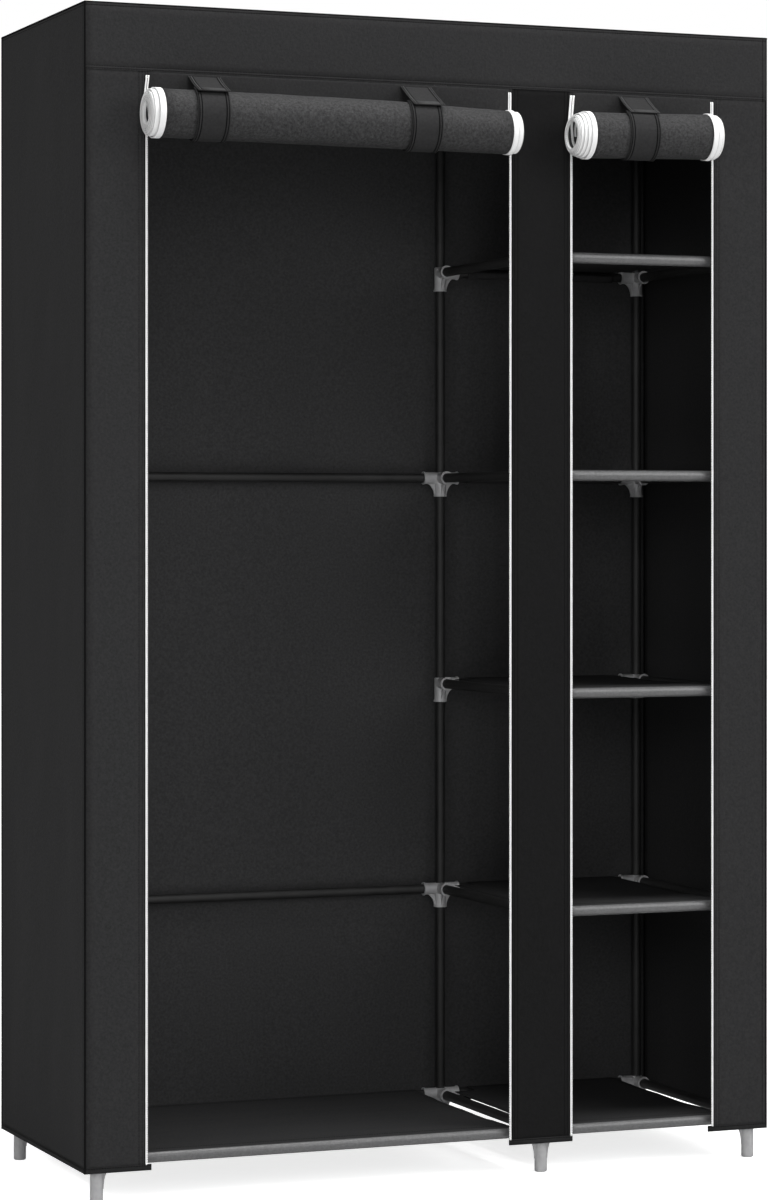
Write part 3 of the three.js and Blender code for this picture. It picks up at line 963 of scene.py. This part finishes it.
# The binding folded over the cover's lower edge, ending in tabs under the zips
def add_hem():
    out = HEM_OUT + CLOTH / 2
    profile = [(out, HEM_HEIGHT), (out, HEM_ROUND), (0, 0), (-out, HEM_ROUND), (-out, HEM_HEIGHT)]
    (left_start, left_end), (right_start, right_end) = zip_lines.values()
    ends = (left_start + ZIP_HALF + ZIP_TAB, left_end - ZIP_HALF, right_start + ZIP_HALF,
            right_end - ZIP_HALF - ZIP_TAB)
    ends = [Vector((x, front, hem)) for x in ends]
    front_left, front_right, back_right, back_left = corners_at(hem)
    around = [ends[3], front_right, back_right, back_left, front_left, ends[0]]
    for name, path in (("round", around), ("centre", [ends[1], ends[2]])):
        thicken(sewn(f"hem_{name}", sweep(path, profile, False), hem_cloth, clean=False), CLOTH / 2)
        threads = []
        for start, end in zip(path, path[1:]):
            outward = (end - start).normalized().cross(UP)
            lift = outward * (out + CLOTH / 4) + UP * HEM_STITCH
            threads.append(stitches(start + lift, end + lift, outward))
        sewn(f"hem_{name}_stitching", merged(threads), thread, clean=False)


add_edges()
add_hem()


# Zips: a white tape down each side of a doorway, with a row of teeth on its free edge; a tooth is a block
# that narrows in layers
def tooth(centre):
    points = []
    for layer, share in enumerate(TOOTH_SHARES):
        out = -layer * TOOTH_LAYER_SHARE * ZIP_THICKNESS
        for across, along in ((-1, -1), (1, -1), (1, 1), (-1, 1)):
            aside, up = across * TEETH_WIDTH / 2 * share, along * TEETH_LENGTH / 2 * share
            points.append(centre + Vector((aside, out, up)))
    faces = joined(len(TOOTH_SHARES), 4)
    return points, [list(range(len(points)))[-4:], *faces]


# One side's tape, teeth, the cloth behind them and above them; inward is towards the doorway
def add_zip(name, line, inward):
    foot, top = hem + ZIP_FOOT, seam - ZIP_TOP
    y = front - CLOTH / 2
    outer, inner = line - inward * ZIP_HALF, line + inward * ZIP_HALF
    tape_inner = outer + inward * ZIP_TAPE
    bevel = inward * ZIP_THICKNESS / 2
    profile = [(outer, y), (outer + bevel, y - ZIP_THICKNESS), (tape_inner - bevel, y - ZIP_THICKNESS),
               (tape_inner, y)]
    vs = steps(foot, top, ZIP_ROWS)
    tape = grid(list(range(len(profile))), vs, lambda u, v: Vector((*profile[u], v)))
    sewn(f"zip_tape_{name}", tape, tape_cloth)
    teeth_line = inner - inward * TEETH_WIDTH / 2
    middles = [foot + (index + 0.5) * TEETH_PITCH for index in range(int((top - foot) / TEETH_PITCH))]
    sewn(f"zip_teeth_{name}", merged([tooth(Vector((teeth_line, y, z))) for z in middles]), teeth_nylon)
    end_edges = [outer - inward * ZIP_GAP, inner + inward * ZIP_HALF]
    # Painted shade: the backing behind the zip takes the near-black cloth, so the gap beside the tape reads
    # as a dark line
    for part, edges, rows_up, plane, cloth, thickness in (
        ("backing", [outer - inward * ZIP_BACKING, teeth_line], vs, front + CLOTH, dark_binding_and_shade_cloth, CLOTH / 2),
        ("end", end_edges, [top, seam], front, cover_cloth, CLOTH),
    ):
        shape = grid(edges, rows_up, lambda u, v: Vector((u, plane, v)))
        thicken(sewn(f"zip_{part}_{name}", shape, cloth), thickness)


for door, (start, end) in zip_lines.items():
    add_zip(f"{door}_door_left", start, 1)
    add_zip(f"{door}_door_right", end, -1)


# Angle at which a line from a point touches a circle round the roll's axis
def touch_angle(point, radius, side):
    distance = hypot(point[0], point[1])
    return atan2(point[1], point[0]) + side * acos(radius / distance)


# A number that changes along a roll, given at even steps from the left end of its black cloth to the right
def along_roll(side, key, x):
    start, end = DOORS[side]["cloth"]
    values = DOORS[side][key]
    at = min(max((x - start) / (end - start), 0), 1) * (len(values) - 1)
    before = min(int(at), len(values) - 2)
    return values[before] + (values[before + 1] - values[before]) * (at - before)


def on_roll(side, x, radius, angle):
    low = along_roll(side, "drops", x)
    point = roll_axis + Vector((0, radius * cos(angle), radius * sin(angle) - low))
    point.x = x
    return point


# How far the tape stands out at a turn, counted from the outside; each turn steps out near its end
def standing_out(turns, wound):
    whole = int(wound)
    here, after = turns[min(whole, len(turns) - 1)], turns[min(whole + 1, len(turns) - 1)]
    return here + (after - here) * eased((wound - whole - STEP_OUT_FROM) / (1 - STEP_OUT_FROM))


# A spiral sheet of a roll between the places that across gives for the outer ends of a turn
def spiral(side, across, us, flare=0):
    door = DOORS[side]

    def place(u, v):
        wound = v / TURN_STEPS
        inside = wound / door["turns"]
        around = wound * TAPE_WAVES_PER_TURN
        waves = [TAPE_WAVE * noise.noise(Vector((around, seed, door["seed"]))) for seed in TAPE_WAVE_SEEDS]
        left = door["cloth"][0] - standing_out(door["left_turns"], wound) + waves[0]
        right = door["cloth"][1] + standing_out(door["right_turns"], wound) + waves[1]
        start, end = across(left, right, 1 - TAPE_NARROWING * inside)
        x = start + (end - start) * u
        outer = along_roll(side, "radii", x) - DOOR_CLOTH / 2
        wave = ROLL_WAVE * noise.noise(
            Vector((x / ROLL_WAVE_SIZE, wound * ROLL_WAVES_PER_TURN, ROLL_WAVE_SEED)))
        radius = outer + (door["core"] - outer) * inside + flare * (1 - inside) + wave
        return on_roll(side, x, radius, seam_angle(side) - 2 * pi * wound)

    return grid(us, list(range(door["turns"] * TURN_STEPS + 1)), place)


def lead_radius(side):
    return along_roll(side, "radii", sum(zip_lines[side]) / 2) - DOOR_CLOTH / 2


def seam_angle(side):
    top = lead_top - roll_axis
    return touch_angle((top.y, top.z), lead_radius(side), -1)


# A roll's tape down one edge of the door, with a darker edge band that is partly its woven selvedge and
# partly painted shade in the gaps between the turns
def add_roll_tape(side, end, across):
    door = DOORS[side]
    shares = [0, TAPE_EDGE_SHARE, *steps(0, 1, TAPE_COLUMNS)[1:]]
    us = shares if end == "left" else [1 - share for share in reversed(shares)]
    shape = spiral(side, across, us, door["flare"])
    tape = piece(f"roll_tape_{side}_{end}", shape, tape_cloth, f"door_{side}", clean=False)
    tape.data.materials.append(selvedge_and_painted_shade)
    for number, face in enumerate(tape.data.polygons):
        column = number % (len(us) - 1)
        face.material_index = 1 if column == (0 if end == "left" else len(us) - 2) else 0
    pitch = (lead_radius(side) - door["core"]) / door["turns"]
    thicken(tape, TAPE_FILL_SHARE * pitch).modifiers[0].material_offset_rim = -1
    return tape


def add_roll(side):
    door = DOORS[side]
    tapes = (door["left_turns"][0], door["right_turns"][0])
    shape = spiral(side, lambda a, b, share: (a + share * tapes[0], b - share * tapes[1]),
                   steps(0, 1, ROLL_COLUMNS))
    cloth = piece(f"roll_cloth_{side}", shape, door_cloth, f"door_{side}", [f"door_{side}"], clean=False)
    left = add_roll_tape(side, "left", lambda a, b, share: (a, a + share * tapes[0]))
    right = add_roll_tape(side, "right", lambda a, b, share: (b - share * tapes[1], b))
    for part in (thicken(cloth, DOOR_CLOTH), left, right):
        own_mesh(part)
    length_of_turns = pi * door["turns"] * (lead_radius(side) + door["core"])


# The door's edges from the seam, where v is 0, to the back of its roll
def lead_edges(side, v):
    return [x + top + (foot - top) * v for x, top, foot in zip(zip_lines[side], LEAD_TOP, LEAD_FOOT)]


# A strip between two lines down the lead, each as (which edge, how far to its right)
def lead_strip(side, name, material, thickness, first, lines_down, count):
    top, foot = lead_top, on_roll(side, sum(zip_lines[side]) / 2, lead_radius(side), seam_angle(side))
    foot.x = top.x

    def place(u, v):
        edges = lead_edges(side, v)
        start, end = [edges[which] + aside for which, aside in lines_down]
        point = top.lerp(foot, v)
        return Vector((start + (end - start) * u, point.y, point.z))

    shape = grid(steps(0, 1, count), steps(first, 1, LEAD_ROWS), place)
    obj = piece(name, shape, material, None, clean=False)
    tuple(top)
    tuple(foot)
    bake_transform(obj)
    return thicken(obj, thickness), (top - foot).length


# The door between the seam and its roll, with a zip tape in two strands down each edge
def add_lead(side):
    whole = ((0, 0), (1, 0))
    cloth, length = lead_strip(side, f"lead_cloth_{side}", cover_cloth, DOOR_CLOTH, 0, whole, ROLL_COLUMNS)
    for end, tape in enumerate(DOORS[side]["lead_tapes"]):
        strand = (tape - LEAD_GAP) / 2
        for number, start in enumerate((-tape / 2, LEAD_GAP / 2)):
            name = f"lead_tape_{side}_{('left', 'right')[end]}_{number + 1}"
            strip = ((end, start), (end, start + strand))
            lead_strip(side, name, tape_cloth, LEAD_TAPE_THICKNESS, TAPE_START, strip, 2)[0]
    width = sum(b - a for a, b in (lead_edges(side, 0), lead_edges(side, 1))) / 2


# The way out of a strap's path where it runs ahead
def out_of(ahead):
    return RIGHT.cross(Vector((0, ahead.y, ahead.z)).normalized())


# A sheet along a path down a strap, lifted off it towards the outside
def along_path(path, insets, lift):
    def place(u, v):
        ahead = path[min(v + 1, len(path) - 1)] - path[max(v - 1, 0)]
        return path[v] + out_of(ahead) * lift + RIGHT * u

    return grid(insets, list(range(len(path))), place)


# A strap's path moved sideways, from its root to a part of it where the shift has all its size
def slanted(path, key, part, where):
    root, full = STRAPS[key]["root"], STRAPS[key][part]
    shares = [sin(pi / 2 * index / (where * (len(path) - 1))) for index in range(len(path))]
    return [point + RIGHT * (root + (full - root) * share) for point, share in zip(path, shares)]


def loop_path(side, key, x):
    radius = along_roll(side, "radii", x) + SEAT_GAP + STRAP_THICKNESS
    leg = ROLL_FORWARD + CLOTH + SEAT_GAP + STRAP_THICKNESS / 2
    start = touch_angle((leg, ROLL_DROP), radius, -1)
    end = STRAP_END - 2 * pi
    path = [roll_axis + Vector((x, leg, ROLL_DROP + STRAP_TUCK)), roll_axis + Vector((x, leg, ROLL_DROP))]
    path += [on_roll(side, x, radius, angle) for angle in steps(start, end, LOOP_STEPS)]
    return slanted(path, key, "loop", LOOP_FRONT_SHARE)


def tab_path(side, key, x):
    radius = along_roll(side, "radii", x) + 2.5 * STRAP_THICKNESS + 3 * SEAT_GAP
    root = (ROLL_FORWARD - SEAT_GAP - STRAP_THICKNESS / 2 - BAND_LIFT, ROLL_DROP - TAB_DROP)
    first = roll_axis + Vector((x, *root))
    touch = on_roll(side, x, radius, touch_angle(root, radius, 1))
    longer = STRAPS[key]["overhang"] / (touch - first).length
    path = [first.lerp(touch, share) for share in steps(0, 1 + longer, TAB_STEPS)]
    return slanted(path, key, "tab", 1)


def path_length(path):
    return sum((after - here).length for here, after in zip(path, path[1:]))


# Stitches down a strap
def path_stitches(path, inset, lift):
    shapes = []
    for here, after in zip(path, path[1:]):
        ahead = after - here
        out = out_of(ahead)
        off = RIGHT * inset + out * lift
        normal = out if lift > 0 else -out
        pitch = ahead.length / max(1, round(ahead.length / STITCH_PITCH))
        shapes.append(stitches(here + off, after + off, normal, pitch, STRAP_STITCH_WIDTH))
    return merged(shapes)


# A strap's cloth, its turned edges and their stitching; outside is 1 or -1, the side of the path seen
def strap_pieces(node, path, body, outside, end_hem):
    half = strap_width(node) / 2
    shape = along_path(path, steps(-half, half, STRAP_COLUMNS), 0)
    cloth = thicken(piece(f"{node}_cloth", shape, strap_cloth, body, [node], clean=False),
                    STRAP_THICKNESS)
    lift = outside * (STRAP_THICKNESS / 2 + STRAP_HEM_RISE / 2)
    inner = half - STRAP_HEM
    edges = [along_path(path, [-half, -inner], lift), along_path(path, [inner, half], lift)]
    if end_hem:
        edges.append(along_path(path[-3:], [-inner, inner], lift))
    hem_material = strap_hem_cloth if end_hem else strap_cloth
    hems = piece(f"{node}_hems", merged(edges), hem_material, body, clean=False)
    thicken(hems, STRAP_HEM_RISE)
    top = outside * (STRAP_THICKNESS / 2 + STRAP_HEM_RISE)
    insets = [inset for edge in STRAP_STITCHES for inset in (edge - half, half - edge)]
    threads = merged([path_stitches(path, inset, top) for inset in insets])
    return cloth, hems, piece(f"{node}_stitching", threads, thread, body, clean=False)


def strap_width(node):
    low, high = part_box(node)
    return high.x - low.x


def add_strap(node):
    _, _, side, number = node.split("_")
    key = f"{side}_{number}"
    tab = f"strap_tab_{key}"
    x = middle(node).x
    loop_line, tab_line = loop_path(side, key, x), tab_path(side, key, x)
    loop = strap_pieces(node, loop_line, FRAME_BODY, 1, False)
    flap = strap_pieces(tab, tab_line, tab, -1, True)
    for part in loop:
        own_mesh(part)
    for parts, path, base in ((loop, loop_line, f"roll_cloth_{side}"), (flap, tab_line, f"{node}_cloth")):
        flat = (strap_width(node), path_length(path))
        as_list(parts[1:])


for side in DOORS:
    add_roll(side)
    add_lead(side)
for node in nodes_named("strap_loop"):
    add_strap(node)


# A shelf's line: round the front rail, along the top, round the back rail
def shelf_path(z):
    radius = BORE_RADIUS + SHELF_CLOTH / 2
    lap = 2 * pi + SLEEVE_LAP

    def sleeve(row, start, end):
        return [Vector((0, rows[row] + radius * cos(angle), z + radius * sin(angle)))
                for angle in steps(start, end, SLEEVE_STEPS)]

    path = sleeve("front", lap, pi / 2)
    first = len(path) - 1
    path += [Vector((0, y, z + radius)) for y in steps(rows["front"], rows["back"], SHELF_ROWS)[1:]]
    last = len(path) - 1
    return path + sleeve("back", pi / 2, pi - lap)[1:], first, last


# How far a shelf's cloth hangs below its rails
def shelf_drop(x, y, z, share):
    away = eased(min(share, 1 - share) / SHELF_FADE)
    gathers = ripple(x, y, GATHER_SIZE, z * GATHER_SEED)
    broad = ripple(x, y, SHELF_WAVE_SIZE, z * SHELF_WAVE_SEEDS[0] + SHELF_WAVE_SEEDS[1])
    return SHELF_SAG * sin(pi * share) - away * (GATHER * gathers + SHELF_WAVE * broad)


# A taut sheet sewn into a sleeve round the front rail and one round the back
def add_shelf(node):
    _, bay, level = node.split("_", 2)
    start, end = [columns[column] for column in BAYS[bay]]
    narrow = (start + SLEEVE_INSET, end - SLEEVE_INSET)
    wide = (start + SHELF_SIDE_GAPS[0], end - SHELF_SIDE_GAPS[1]) if bay == "right" else narrow
    z = heights[level]
    path, first, last = shelf_path(z)

    def place(u, v):
        point = path[v]
        inside = first < v < last
        drop = shelf_drop(u, point.y, z, (v - first) / (last - first)) if inside else 0
        return Vector((u, point.y, point.z - drop))

    def kept(u, v):
        y = (path[int(v)].y + path[int(v) + 1].y) / 2
        clear = rows["front"] + NOTCH_DEPTH < y < rows["back"] - NOTCH_DEPTH
        return narrow[0] < u < narrow[1] or (first <= v < last and clear)

    us = sorted({*wide, wide[0] + SHELF_HEM, wide[1] - SHELF_HEM, *steps(*narrow, SHELF_COLUMNS)})
    obj = piece(f"{node}_cloth", grid(us, list(range(len(path))), place, kept), shelf_cloth, nodes=[node])
    # Painted light: faces round the front rail take the lighter sleeve cloth
    obj.data.materials.append(front_sleeve_painted_light_cloth)
    for face in obj.data.polygons:
        in_front = face.center.y < rows["front"] + TUBE_RADIUS and face.center.z < z + TUBE_RADIUS
        face.material_index = 1 if in_front else 0
    thicken(obj, SHELF_CLOTH)
    sewing = shelf_stitching(node, wide, narrow, z)
    path_length(path)


# Thread behind both sleeves and down both sides of a shelf
def shelf_stitching(node, wide, narrow, z):
    top = z + BORE_RADIUS + SHELF_CLOTH
    behind = TUBE_RADIUS + SHELF_HEM
    shapes = []
    for y in (rows["front"] + behind, rows["back"] - behind):
        shapes.append(stitches(Vector((narrow[0], y, top)), Vector((narrow[1], y, top)), UP))
    y_ends = (rows["front"] + NOTCH_DEPTH, rows["back"] - NOTCH_DEPTH)
    cells = steps(*y_ends, SHELF_STITCH_CELLS)
    depth = rows["back"] - rows["front"]
    for x in (wide[0] + SHELF_HEM, wide[1] - SHELF_HEM):
        line = [Vector((x, y, top - shelf_drop(x, y, z, (y - rows["front"]) / depth))) for y in cells]
        shapes += [stitches(here, after, UP) for here, after in zip(line, line[1:])]
    return piece(f"{node}_stitching", merged(shapes), thread, clean=False)


for node in nodes_named("shelf"):
    add_shelf(node)


# A zip slider's body and its pull, seen from the front, each an outline of (across, down)
def add_slider(node):
    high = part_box(node)[1]
    top = Vector((middle(node).x, high.y, high.z))
    shoulders = [(SLIDER_HALF, SLIDER_LENGTH * share) for share in SLIDER_SHOULDER_SHARES]
    right_half = [(SLIDER_NECK, 0), *shoulders, (SLIDER_NECK, SLIDER_LENGTH)]
    body = right_half + [(-across, down) for across, down in reversed(right_half)]
    foot = [(PULL_HALF * cos(angle), PULL_LENGTH - PULL_HALF + PULL_HALF * sin(angle))
            for angle in steps(0, pi, PULL_STEPS)]
    pull = [(PULL_NECK, PULL_TOP), (PULL_HALF, 2 * PULL_TOP), *foot, (-PULL_HALF, 2 * PULL_TOP),
            (-PULL_NECK, PULL_TOP)]
    shapes = []
    depths = (0, SLIDER_THICKNESS, SLIDER_THICKNESS + PULL_THICKNESS)
    for outline, ends in ((body, depths[:2]), (pull, depths[1:])):
        shapes.append(plate(*[[top + Vector((across, -depth, -down)) for across, down in outline]
                              for depth in ends]))
    metal = piece(f"{node}_metal", merged(shapes), slider_paint, node, [node])
    rounded(metal, SLIDER_ROUND)


for node in nodes_named("zip_slider"):
    add_slider(node)


# Floor, light and background
def add_floor():
    points = [Vector((*corner, 0)) for corner in FLOOR_CORNERS]
    material = new_material("pale_floor", even(0.86), roughness=0.9, Emission_Color=(1, 1, 1, 1))
    path = add_node(material, "ShaderNodeLightPath")
    share = add_node(material, "ShaderNodeMath")
    share.operation = "MULTIPLY"
    share.inputs[1].default_value = FLOOR_GLOW
    link(material, path, "Is Camera Ray", share, 0)
    link(material, share, 0, shader_of(material), "Emission Strength")
    floor = piece("floor", (points, [[0, 1, 2, 3]]), material, None, clean=False)


def add_world():
    world = bpy.data.worlds.new("studio")
    bpy.context.scene.world = world
    world.use_nodes = True
    background = world.node_tree.nodes["Background"]
    background.inputs["Color"].default_value = (1, 1, 1, 1)
    rays = add_node(world, "ShaderNodeLightPath")
    last, output = rays, "Is Camera Ray"
    for ray in ("Is Glossy Ray", "Is Transmission Ray"):
        either = add_node(world, "ShaderNodeMath")
        either.operation = "MAXIMUM"
        link(world, last, output, either, 0)
        link(world, rays, ray, either, 1)
        last, output = either, 0
    strength = add_node(world, "ShaderNodeMapRange", To_Min=WORLD_GLOW, To_Max=1)
    link(world, last, output, strength, "Value")
    link(world, strength, "Result", background, "Strength")


def add_lamps():
    for name, (location, aim, size, power) in LAMPS.items():
        data = bpy.data.lights.new(name, "AREA")
        data.shape = "DISK"
        data.size = size
        data.energy = power
        lamp = in_scene(name, data)
        lamp.location = location
        lamp.rotation_euler = (Vector(aim) - Vector(location)).to_track_quat("-Z", "Y").to_euler()


add_floor()
add_world()
add_lamps()

bpy.context.scene.view_settings.view_transform = "Standard"
